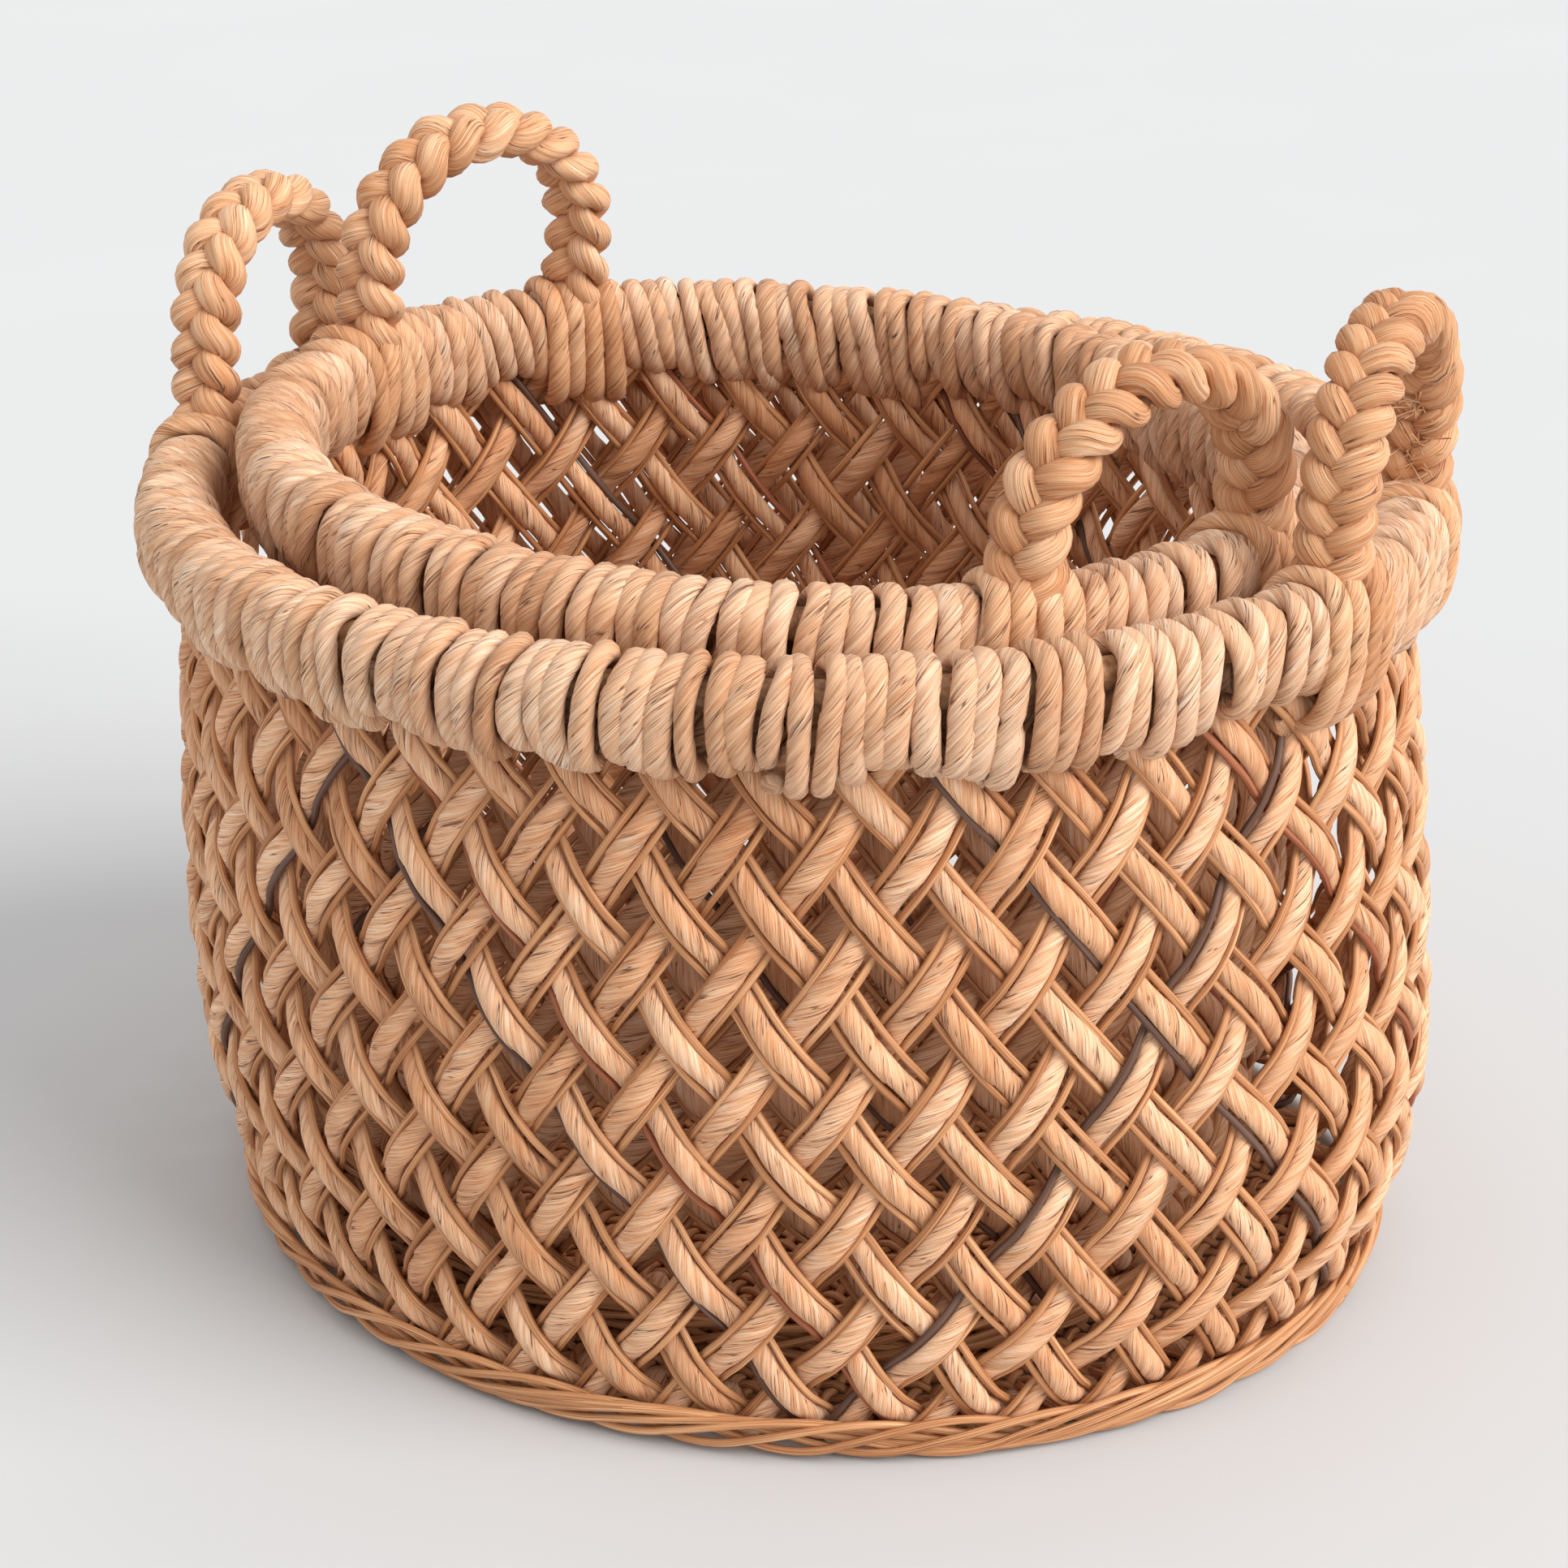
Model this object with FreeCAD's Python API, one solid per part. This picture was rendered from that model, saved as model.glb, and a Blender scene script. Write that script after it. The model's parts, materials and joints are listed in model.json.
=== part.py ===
"""Two oval laundry baskets, the smaller one nested in the larger.

Each basket is a basket weaver's assembly: a flat woven base, a thick open-weave wall
that rounds in at the foot, thin border rods round that foot, a rim hoop, the rope
wrapping that binds the hoop to the top of the wall, and two standing handle loops of
three strands each, lashed over the rim.

Units are millimetres. The origin is on the floor, in the middle of the larger basket.
+Z is up and +X runs along the larger basket's long axis.
"""
import FreeCAD, Part
import os
from math import acos, asin, cos, degrees, hypot, pi, radians, sin

os.makedirs("parts", exist_ok=True)

# ---------------------------------------------------------------- driving dimensions
WALL_THICKNESS = 14.0        # the weave: one strand over another
BASE_THICKNESS = 9.0         # woven base
NEST_TURN = -2.5             # degrees the smaller basket is turned inside the larger
NEST_TILT = 2.34             # degrees it leans, so that its right end lies lower
NEST_STAND = (-15.3, -6.0, 18.9)   # middle of its underside inside the larger basket

RIM_HALF_HEIGHT = 22.0       # rope wrapping, from the hoop's middle up and down
RIM_HALF_WIDTH = 18.2        # rope wrapping, from the hoop's middle in and out
HOOP_RADIUS = 7.0            # bundle of canes inside the wrapping
HOOP_RISE = 6.0              # hoop centre above the middle of the wrapping
WALL_TUCK = 8.0              # the wall's top edge below the middle of the wrapping
SLOT_TOP = 1.0               # top of the groove that the wall's edge stands in

BORDER_RODS = 4
BORDER_ROD_RADIUS = 2.2
BORDER_FIRST_HEIGHT = 2.6
BORDER_PITCH = 4.8
BORDER_STAND_OFF = 4.2       # rod centre out from the wall's face

STRAND_RADIUS = 6.7          # one of the three strands of a handle
STRAND_SIDE = 9.5            # the two lower strands lie this far either side
STRAND_DROP = 4.0            # ... and this far inside the plait's centre line
STRAND_LIFT = 6.0            # the third strand lies this far outside it
HANDLE_CLEARANCE = 29.0      # where the strands end, above the rim's centre line

LASHING_THICKNESS = 4.6      # rope loop laid over the wrapping beside each handle leg
LASHING_WIDTH = 8.0
LASHING_GAP = 1.4            # air between the loop and the wrapping
LASHING_OFFSET = 24.0        # loop centre from the leg's centre, along the rim

SIDES = {"right": 0.0, "left": 180.0}

# Wall outlines are (height, long semi-axis, short semi-axis) of the outer face. The foot
# may sit off centre by foot_shift, which dies out at the belly. Each handle is set by the
# degrees from the end of the oval to its middle (turn), the degrees from there to a leg
# (spread), the height of the plait's centre line above the rim's (top), and two small
# angles: towards the outside of the basket (lean) and sideways along the rim (slant).
OUTER = {
    "name": "outer",
    "turn": 0.0,
    "tilt": 0.0,
    "stand": (0.0, 0.0, 0.0),
    "wall": [(0, 274, 231), (14, 281, 238), (52, 298, 246), (157, 308, 253),
             (250, 301, 250), (314, 293, 248), (352, 289, 248)],
    "belly": 157.0,
    "foot_shift": (3.3, -4.0),
    "rim": (286.0, 249.5, 352.0),
    "handles": {
        "right": {"turn": 2.5, "spread": 13.5, "top": 110.0, "lean": 2.5, "slant": 6.0},
        "left": {"turn": 4.3, "spread": 12.4, "top": 113.0, "lean": -1.0, "slant": -8.0},
    },
}
INNER = {
    "name": "inner",
    "turn": NEST_TURN,
    "tilt": NEST_TILT,
    "stand": NEST_STAND,
    "wall": [(0, 221, 183), (14, 228, 190), (52, 240, 202), (157, 250, 214),
             (250, 246, 209), (314, 241, 202), (350, 240, 200)],
    "belly": 157.0,
    "foot_shift": (0.0, 0.0),
    "rim": (236.0, 198.5, 350.8),
    "handles": {
        "right": {"turn": -18.5, "spread": 18.0, "top": 98.0, "lean": 4.0, "slant": 0.0},
        "left": {"turn": -19.0, "spread": 17.2, "top": 114.0, "lean": -8.0, "slant": 0.0},
    },
}


# ---------------------------------------------------------------- shape helpers
def oval_wire(long_half, short_half, height, centre=(0.0, 0.0)):
    """Closed oval outline at one height."""
    middle = FreeCAD.Vector(centre[0], centre[1], height)
    return Part.Wire([Part.Ellipse(middle, long_half, short_half).toShape()])


def foot_centre(basket, height):
    """Where the oval's centre lies at a height."""
    share = max(0.0, 1.0 - height / basket["belly"])
    return tuple(shift * share for shift in basket["foot_shift"])


def oval_loft(levels, basket=None):
    """Solid that passes smoothly through oval outlines."""
    wires = [oval_wire(a, b, z, foot_centre(basket, z) if basket else (0.0, 0.0))
             for z, a, b in levels]
    return Part.makeLoft(wires, True, False)


def oval_rod(long_half, short_half, height, radius, centre=(0.0, 0.0)):
    """Round rod bent into a closed oval."""
    start = FreeCAD.Vector(centre[0] + long_half, centre[1], height)
    section = Part.Wire([Part.makeCircle(radius, start, FreeCAD.Vector(0, 1, 0))])
    path = oval_wire(long_half, short_half, height, centre)
    return path.makePipeShell([section], True, False)


def slab(low, high, half=600.0):
    """Wide block between two heights, used for trimming."""
    corner = FreeCAD.Vector(-half, -half, low)
    return Part.makeBox(2 * half, 2 * half, high - low, corner)


def rim_point(basket, angle):
    """Point on the rim's centre line, at an angle round the oval in degrees."""
    a, b, z = basket["rim"]
    return FreeCAD.Vector(a * cos(radians(angle)), b * sin(radians(angle)), z)


def rim_direction(basket, angle):
    """Unit vector along the rim at that angle."""
    a, b, _ = basket["rim"]
    along = FreeCAD.Vector(-a * sin(radians(angle)), b * cos(radians(angle)), 0)
    return along.normalize()


def place(basket, shape):
    """Move a shape from its basket's own frame to the shared one."""
    placed = shape.copy()
    placed.rotate(FreeCAD.Vector(0, 0, 0), FreeCAD.Vector(0, 0, 1), basket["turn"])
    placed.rotate(FreeCAD.Vector(0, 0, 0), FreeCAD.Vector(0, 1, 0), basket["tilt"])
    placed.translate(FreeCAD.Vector(*basket["stand"]))
    return placed


# ---------------------------------------------------------------- wall, base, border
def wall_core(basket):
    """Solid that fills the basket inside its wall, past both ends."""
    inside = [(z, a - WALL_THICKNESS, b - WALL_THICKNESS) for z, a, b in basket["wall"]]
    low = (inside[0][0] - 4, inside[0][1] - 2, inside[0][2] - 2)
    high = (inside[-1][0] + 4, inside[-1][1], inside[-1][2])
    return oval_loft([low] + inside + [high], basket)


def wall_shell(basket, core):
    """The wall up to the top of the groove in the rim wrapping."""
    return oval_loft(basket["wall"], basket).cut(core)


def woven_wall(basket, shell):
    """Open-topped wall that ends under the hoop."""
    return shell.common(slab(-5, basket["rim"][2] - WALL_TUCK))


def base_mat(core):
    """Flat woven base that fills the foot of the wall."""
    return core.common(slab(0, BASE_THICKNESS))


def wall_face_at(basket, height):
    """Semi-axes of the wall's outer face at a height, between two given levels."""
    levels = basket["wall"]
    for (z0, a0, b0), (z1, a1, b1) in zip(levels, levels[1:]):
        if z0 <= height <= z1:
            share = (height - z0) / (z1 - z0)
            return a0 + share * (a1 - a0), b0 + share * (b1 - b0)
    raise ValueError("height is outside the wall")


def border_rod(basket, number):
    """One of the thin rods laid round the foot."""
    height = BORDER_FIRST_HEIGHT + BORDER_PITCH * number
    a, b = wall_face_at(basket, height)
    return oval_rod(a + BORDER_STAND_OFF, b + BORDER_STAND_OFF, height, BORDER_ROD_RADIUS,
                    foot_centre(basket, height))


# ---------------------------------------------------------------- rim
def rim_hoop(basket):
    """Bundle of canes that stiffens the rim."""
    a, b, z = basket["rim"]
    return oval_rod(a, b, z + HOOP_RISE, HOOP_RADIUS)


def rim_wrap(basket, shell, hoop):
    """Rope wrapping as one rounded band, grooved for the wall and the hoop."""
    a, b, z = basket["rim"]
    slopes = [-1.0, -0.8, -0.35, 0.35, 0.8, 1.0]
    flat = 0.30                                   # the top and bottom stay this wide
    reach = [RIM_HALF_WIDTH * max(flat, cos(asin(s)) ** 0.9) for s in slopes]
    band = list(zip(slopes, reach))
    outside = oval_loft([(z + RIM_HALF_HEIGHT * s, a + r, b + r) for s, r in band])
    inside = oval_loft([(z + RIM_HALF_HEIGHT * s, a - r, b - r) for s, r in band])
    groove = shell.common(slab(-5, z + SLOT_TOP))
    return outside.cut(inside).cut(groove).cut(hoop)


# ---------------------------------------------------------------- handles
def handle_frame(basket, side):
    """Middle of the line through both legs, its direction, and half the leg spacing."""
    handle = basket["handles"][side]
    middle = SIDES[side] + handle["turn"]
    first = rim_point(basket, middle - handle["spread"])
    second = rim_point(basket, middle + handle["spread"])
    chord = second - first
    return (first + second) * 0.5, chord.normalize(), (second - first).Length / 2


def strand(basket, side, across, rise):
    """One handle strand: up a leg, over the arch and down the other leg."""
    handle = basket["handles"][side]
    middle, along, half = handle_frame(basket, side)
    up = FreeCAD.Vector(0, 0, 1)
    outward = along.cross(up)
    centre = middle + outward * across
    reach = half + rise
    spring = handle["top"] - half                 # height at which the arch begins
    slant = radians(handle["slant"])
    foot_rise = reach * sin(slant)                # keeps both feet level once slanted
    foot_a = centre - along * reach + up * ((HANDLE_CLEARANCE - foot_rise) / cos(slant))
    foot_b = centre + along * reach + up * ((HANDLE_CLEARANCE + foot_rise) / cos(slant))
    knee_a = centre - along * reach + up * spring
    knee_b = centre + along * reach + up * spring
    crown = centre + up * (spring + reach)
    path = Part.Wire([
        Part.LineSegment(foot_a, knee_a).toShape(),
        Part.Arc(knee_a, crown, knee_b).toShape(),
        Part.LineSegment(knee_b, foot_b).toShape(),
    ])
    section = Part.Wire([Part.makeCircle(STRAND_RADIUS, foot_a, up)])
    shape = path.makePipeShell([section], True, False)
    shape.rotate(middle, outward, -handle["slant"])
    shape.rotate(middle, along, handle["lean"])
    return shape


STRANDS = {
    "a": (-STRAND_SIDE, -STRAND_DROP),
    "b": (0.0, STRAND_LIFT),
    "c": (STRAND_SIDE, -STRAND_DROP),
}


def lashing_loop(basket, angle, shell):
    """Rope loop laid over the rim wrapping, open below where the wall comes out."""
    inner_high = RIM_HALF_HEIGHT + LASHING_GAP
    inner_wide = RIM_HALF_WIDTH + LASHING_GAP
    point = rim_point(basket, angle)
    along = rim_direction(basket, angle)
    start = point - along * (LASHING_WIDTH / 2)
    outward = along.cross(FreeCAD.Vector(0, 0, 1))
    solids = []
    for extra in (LASHING_THICKNESS, 0.0):
        high = start + FreeCAD.Vector(0, 0, inner_high + extra)
        wide = start + outward * (inner_wide + extra)
        oval = Part.Wire([Part.Ellipse(high, wide, start).toShape()])
        solids.append(Part.Face(oval).extrude(along * LASHING_WIDTH))
    return solids[0].cut(solids[1]).cut(shell)


def lashing(basket, side, shell):
    """The four rope loops of one handle, two beside each leg."""
    a, b, _ = basket["rim"]
    handle = basket["handles"][side]
    middle = SIDES[side] + handle["turn"]
    loops = []
    for leg in (-1, 1):
        leg_angle = middle + leg * handle["spread"]
        speed = hypot(a * sin(radians(leg_angle)), b * cos(radians(leg_angle)))
        step = degrees(LASHING_OFFSET / speed)
        for beside in (-1, 1):
            loops.append(lashing_loop(basket, leg_angle + beside * step, shell))
    return Part.makeCompound([loop.Solids[0] for loop in loops])


# ---------------------------------------------------------------- assembly
def basket_nodes(basket):
    """Every piece of one basket, by node name."""
    name = basket["name"]
    core = wall_core(basket)
    shell = wall_shell(basket, core)
    hoop = rim_hoop(basket)
    nodes = {
        name + "_base_mat": base_mat(core),
        name + "_woven_wall": woven_wall(basket, shell),
        name + "_rim_hoop": hoop,
        name + "_rim_wrap": rim_wrap(basket, shell, hoop),
    }
    for number in range(BORDER_RODS):
        nodes[f"{name}_border_rod_{number + 1}"] = border_rod(basket, number)
    for side in SIDES:
        nodes[f"{name}_{side}_handle_lashing"] = lashing(basket, side, shell)
        for letter, (across, rise) in STRANDS.items():
            nodes[f"{name}_{side}_handle_strand_{letter}"] = strand(basket, side, across, rise)
    return {node: place(basket, shape) for node, shape in nodes.items()}


for basket in (OUTER, INNER):
    for node, shape in basket_nodes(basket).items():
        shape.exportStep(f"parts/{node}.step")
        box = shape.BoundBox
        print(f"{node:32s} solids {len(shape.Solids)} valid {shape.isValid()} "
              f"volume {shape.Volume / 1000:8.1f} cm3  z {box.ZMin:6.1f}..{box.ZMax:6.1f}  "
              f"x {box.XMin:6.1f}..{box.XMax:6.1f}")
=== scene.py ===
# %% [markdown]
# # Two woven laundry baskets, one standing in the other
# The real baskets are made of two plants. The fat, soft rope is twisted from dried hyacinth
# stems, and the thin, stiff rods are rattan cane. Every wall strand is a rope with a cane on
# each side, and the strands lean left and right and pass over and under each other.
# The plain CAD model gives the walls, rims and handles their size and place. This script
# gives them their strands.

# %% Load the frame
import json
from math import cos, pi, radians, sin, tau

import bmesh
import bpy
import numpy as np
from mathutils import Matrix, Quaternion, Vector
from mathutils.bvhtree import BVHTree


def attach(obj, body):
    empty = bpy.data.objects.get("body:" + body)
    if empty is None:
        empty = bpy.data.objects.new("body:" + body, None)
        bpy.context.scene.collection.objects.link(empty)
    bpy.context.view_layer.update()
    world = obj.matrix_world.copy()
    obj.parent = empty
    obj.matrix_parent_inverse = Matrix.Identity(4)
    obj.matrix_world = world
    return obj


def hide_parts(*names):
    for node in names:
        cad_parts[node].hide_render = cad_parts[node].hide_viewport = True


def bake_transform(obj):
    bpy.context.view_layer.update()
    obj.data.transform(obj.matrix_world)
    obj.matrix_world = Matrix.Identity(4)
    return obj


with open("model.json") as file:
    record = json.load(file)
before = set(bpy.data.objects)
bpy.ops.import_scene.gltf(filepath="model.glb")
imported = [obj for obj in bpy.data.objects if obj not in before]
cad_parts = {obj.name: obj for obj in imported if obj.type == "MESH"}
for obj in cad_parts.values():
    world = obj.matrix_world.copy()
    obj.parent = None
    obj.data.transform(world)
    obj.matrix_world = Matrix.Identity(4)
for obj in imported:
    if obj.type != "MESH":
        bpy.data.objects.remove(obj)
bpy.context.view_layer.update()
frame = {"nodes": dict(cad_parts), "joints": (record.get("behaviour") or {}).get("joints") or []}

joints = {joint["name"]: joint for joint in frame["joints"]}

# %% [markdown]
# ## The sizes of rope and cane
# A weaver thinks in the sizes of the materials, so these come first. Everything that is
# random uses one seeded generator, so that the basket comes out the same every time.

# %% Material sizes and the seeded generator
MM = 0.001
rng = np.random.default_rng(2107)

WALL_HALF = 7.0 * MM               # half of the CAD wall's thickness
WEAVE_ROPE = (5.5 * MM, 3.6 * MM)  # half width and half thickness, flattened by the weave
WEAVE_CANE = (1.7 * MM, 1.65 * MM)
WRAP_ROPE = (5.4 * MM, 4.2 * MM)
TIE_ROPE = (5.6 * MM, 4.3 * MM)
PLAIT_ROPE = (6.7 * MM, 5.8 * MM)
BORDER_CANE = (1.9 * MM, 1.8 * MM)
BASE_CANE = (2.4 * MM, 1.7 * MM)
SPLIT_FIBRE = (0.42 * MM, 0.26 * MM)
STRAND_SPACING = 41.0 * MM         # from one strand to the next of the same lean
ROWS = 12                          # crossings from the foot to the rim
WEAVE_TWIST = 46.0 * MM            # along a rope, one full twist of its fibres
WRAP_TWIST = 40 * MM
TIE_TWIST = 36 * MM
PLAIT_TWIST = 95 * MM
print(WEAVE_ROPE[0] * 2 / MM, "mm wide weave rope,", STRAND_SPACING / MM, "mm apart")


def wander(rows, places, slow, fast):
    """Smooth random curves between -1 and 1, one row for each strand."""
    curve = np.zeros((rows, len(places)))
    for _ in range(3):
        waves = rng.uniform(slow, fast, (rows, 1))
        start = rng.uniform(0, tau, (rows, 1))
        curve += np.sin(tau * waves * places + start) / 3
    return curve


# %% [markdown]
# ## Where each basket stands
# The larger basket stands upright on the floor. The smaller one is turned a little inside it
# and leans, so that its right end lies lower. Its strands are easier to lay out in a frame of
# its own, in which it is upright, and are then carried to where it stands.

# %% The baskets' own frames
class Stand:
    """A basket's own upright frame, and where that frame stands."""

    def __init__(self, turn, tilt, place):
        self.axes = np.array(Matrix.Rotation(tilt, 3, "Y") @ Matrix.Rotation(turn, 3, "Z"))
        self.place = np.array(place)
        self.up = self.axes[:, 2]

    def turned(self, ways):
        """Directions from the basket's own frame, as they are in the shared one."""
        return ways @ self.axes.T

    def shared(self, points):
        """Points from the basket's own frame, where they are in the shared one."""
        return points @ self.axes.T + self.place

    def own(self, points):
        """Points of the shared frame, seen from the basket's own."""
        return (points - self.place) @ self.axes


stands = {
    "outer": Stand(0.0, 0.0, (0.0, 0.0, 0.0)),
    "inner": Stand(radians(-2.5), radians(2.34), (-15.3 * MM, -6.0 * MM, 18.9 * MM)),
}
print("the smaller basket's own up:", stands["inner"].up.round(3))

# %% [markdown]
# ## Reading the wall from the frame
# The weave has to follow the CAD wall. A ray shot at the wall from outside finds its outer
# face at any height, at both ends of the long and of the short axis. Half a wall's thickness
# inside that is the middle of the weave, where the strands cross. The outline's angle is
# tabled against the distance round, so that strands can be spaced evenly on an oval.

# %% Rays that measure a CAD node
depsgraph = bpy.context.evaluated_depsgraph_get()
trees = {}


def reach(stand, node, angle, height, outside):
    """Distance from a basket's own upright axis to a node's outer or inner face."""
    if node not in trees:
        trees[node] = BVHTree.FromObject(frame["nodes"][node], depsgraph)
    heading = Vector(stand.turned(np.array([cos(angle), sin(angle), 0.0])))
    axis = Vector(stand.shared(np.array([0.0, 0.0, height])))
    start, way = (axis + heading, -heading) if outside else (axis, heading)
    return (trees[node].ray_cast(start, way)[0] - axis).length


def oval(stand, node, height, outside=True):
    """Centre and half axes of a node's face at one height: x, y, long half, short half."""
    east, north, west, south = [reach(stand, node, quarter * pi / 2, height, outside)
                                for quarter in range(4)]
    return (east - west) / 2, (north - south) / 2, (east + west) / 2, (north + south) / 2


def span(stand, node):
    """A node's lowest and highest point in a basket's own frame."""
    corners = np.array([corner.co for corner in frame["nodes"][node].data.vertices])
    heights = stand.own(corners)[:, 2]
    return heights.min(), heights.max()


def crossed(a, b):
    """Unit vectors at right angles to both, along the last axis."""
    product = np.cross(a, b)
    return product / np.linalg.norm(product, axis=-1, keepdims=True)


# %% [markdown]
# The measured ovals make one smooth middle surface for the weave. Below the foot two small
# ovals are added, so that the strands' ends turn in under the base, and above the wall it goes
# straight on into the rim, where the ends are hidden by the wrapping.

# %% The middle surface of a basket's weave
class Wall:
    """An oval at every height, measured in distance run up the wall from the foot."""

    LIP = 26 * MM                  # how far the strands' ends are tucked in under the base
    BEND = 7 * MM                  # how far in the bend towards the base is
    TUCKED = (8.4 * MM, 8.7 * MM)  # the heights of the tucked end and of the bend
    FOOT = 9 * MM                  # height at which the measured wall begins
    HEAD = 16 * MM                 # the strands go on up into the rim
    STEP = 3 * MM                  # from one measured height to the next

    def __init__(self, name, stand):
        self.name, self.stand = name, stand
        node = name + "_woven_wall"
        low, high = span(stand, node)
        heights = np.arange(low + self.FOOT, high - MM, self.STEP)
        ovals = np.array([oval(stand, node, z) for z in heights])
        ovals[:, 2:] -= WALL_HALF
        tucked = [ovals[0] - [0, 0, inward, inward] for inward in (self.LIP, self.BEND)]
        self.ovals = np.concatenate([tucked, ovals, ovals[-1:]])
        self.z = np.concatenate([low + np.array(self.TUCKED), heights, [high + self.HEAD]])
        steps = np.hypot(np.diff(self.ovals[:, 2]), np.diff(self.z))
        self.run = np.concatenate([[0], np.cumsum(steps)])
        self.run -= self.run[2]
        self.length = self.run[-2]
        self.middle = self.ovals[len(self.z) // 2]
        angle = np.linspace(0, tau, 2001)
        pace = np.hypot(self.middle[2] * np.sin(angle), self.middle[3] * np.cos(angle))
        steps = (pace[1:] + pace[:-1]) / 2 * (angle[1] - angle[0])
        length = np.concatenate([[0], np.cumsum(steps)])
        self.angle, self.share = angle, length / length[-1]
        self.girth = length[-1]
        self.strands = 2 * round(self.girth / STRAND_SPACING / 2)

    def own(self, share, run):
        """Points in the basket's own frame, for shares of the way round and runs up the wall."""
        angle = np.interp(share % 1, self.share, self.angle)
        x, y, long_half, short_half = [np.interp(run, self.run, column) for column in self.ovals.T]
        height = np.interp(run, self.run, self.z)
        return np.stack([x + long_half * np.cos(angle), y + short_half * np.sin(angle),
                         height + 0 * angle], -1)

    def at(self, share, run):
        """The same points in the shared frame."""
        return self.stand.shared(self.own(share, run))

    def out(self, share, run):
        """Unit normals that point out of the basket."""
        around = self.at(share + 2e-4, run) - self.at(share - 2e-4, run)
        upward = self.at(share, run + 4 * MM) - self.at(share, run - 4 * MM)
        return crossed(around, upward)


walls = {name: Wall(name, stand) for name, stand in stands.items()}
for wall in walls.values():
    print(wall.name, "girth", round(wall.girth, 3), "m,", wall.strands, "strands each way,",
          "wall", round(wall.length, 3), "m up the slope")

# %% [markdown]
# ## One straight tube, bent many times
# Rope and cane are both tubes that follow a path. Instead of building each one ring by ring,
# one straight tube is made with a cone primitive and its long edges are subdivided into
# rings. Every strand is a copy of it, and only the places of the corners are worked out: how
# far round the tube a corner lies, and how far along.
# Hyacinth rope is a wound ribbon, so the corners of a rope also turn as they go along, and
# the radius grows by a small step round the tube. The step becomes the ribbon's lapped edge,
# and the long edges of the mesh run the way the fibres run.

# %% The straight tube
class Tube:
    """A capped straight tube, with each corner's column round it and ring along it."""

    def __init__(self, sides, rings):
        self.sides, self.rings = sides, rings
        bm = bmesh.new()
        bmesh.ops.create_cone(bm, cap_ends=True, segments=sides, radius1=1, radius2=1, depth=1)
        bmesh.ops.translate(bm, verts=bm.verts, vec=(0, 0, 0.5))
        long_edges = [e for e in bm.edges if abs(e.verts[0].co.z - e.verts[1].co.z) > 0.5]
        bmesh.ops.subdivide_edges(bm, edges=long_edges, cuts=rings - 1, use_grid_fill=True)
        for face in bm.faces:
            face.smooth = True
        self.mesh = bpy.data.meshes.new(f"straight_tube_{sides}_{rings}")
        bm.to_mesh(self.mesh)
        bm.free()
        places = np.empty(len(self.mesh.vertices) * 3)
        self.mesh.vertices.foreach_get("co", places)
        x, y, z = places.reshape(-1, 3).T
        self.column = np.rint(np.arctan2(-x, y) / tau * sides).astype(int) % sides
        self.ring = np.rint(z * rings).astype(int)
        corner = np.empty(len(self.mesh.loops), int)
        self.mesh.loops.foreach_get("vertex_index", corner)
        face_size = np.empty(len(self.mesh.polygons), int)
        self.mesh.polygons.foreach_get("loop_total", face_size)
        face = np.repeat(np.arange(len(face_size)), face_size)
        last = np.zeros(len(face_size), int)
        np.maximum.at(last, face, self.column[corner])
        seam = (face_size[face] == 4) & (last[face] == sides - 1) & (self.column[corner] == 0)
        self.corner = corner
        self.corner_column = np.where(seam, sides, self.column[corner])


TUBES = {}


def tube_of(sides, rings):
    """The straight tube with that many sides and rings, made once."""
    if (sides, rings) not in TUBES:
        TUBES[sides, rings] = Tube(sides, rings)
    return TUBES[sides, rings]


# %% [markdown]
# A path needs two cross directions at each ring, one sideways and one out, to say where the
# corners of the ring go. The strands of a kind are one object, because a basket has hundreds of
# them, and each keeps its own map for the finish: millimetres round it and along it.

# %% Bending copies of the tube along their paths
EDGE_SHARE = 0.978                 # the ribbon's edge step takes the rest of the way round


def side_and_out(centre, out):
    """The two cross directions of each strand at each ring."""
    along = np.gradient(centre, axis=1)
    along /= np.linalg.norm(along, axis=-1, keepdims=True)
    side = crossed(out, along)
    return side, crossed(along, side)


def run_length(centre):
    """Distance along each strand at each ring."""
    steps = np.linalg.norm(np.diff(centre, axis=1), axis=-1)
    return np.concatenate([np.zeros((len(centre), 1)), np.cumsum(steps, axis=1)], axis=1)


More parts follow.
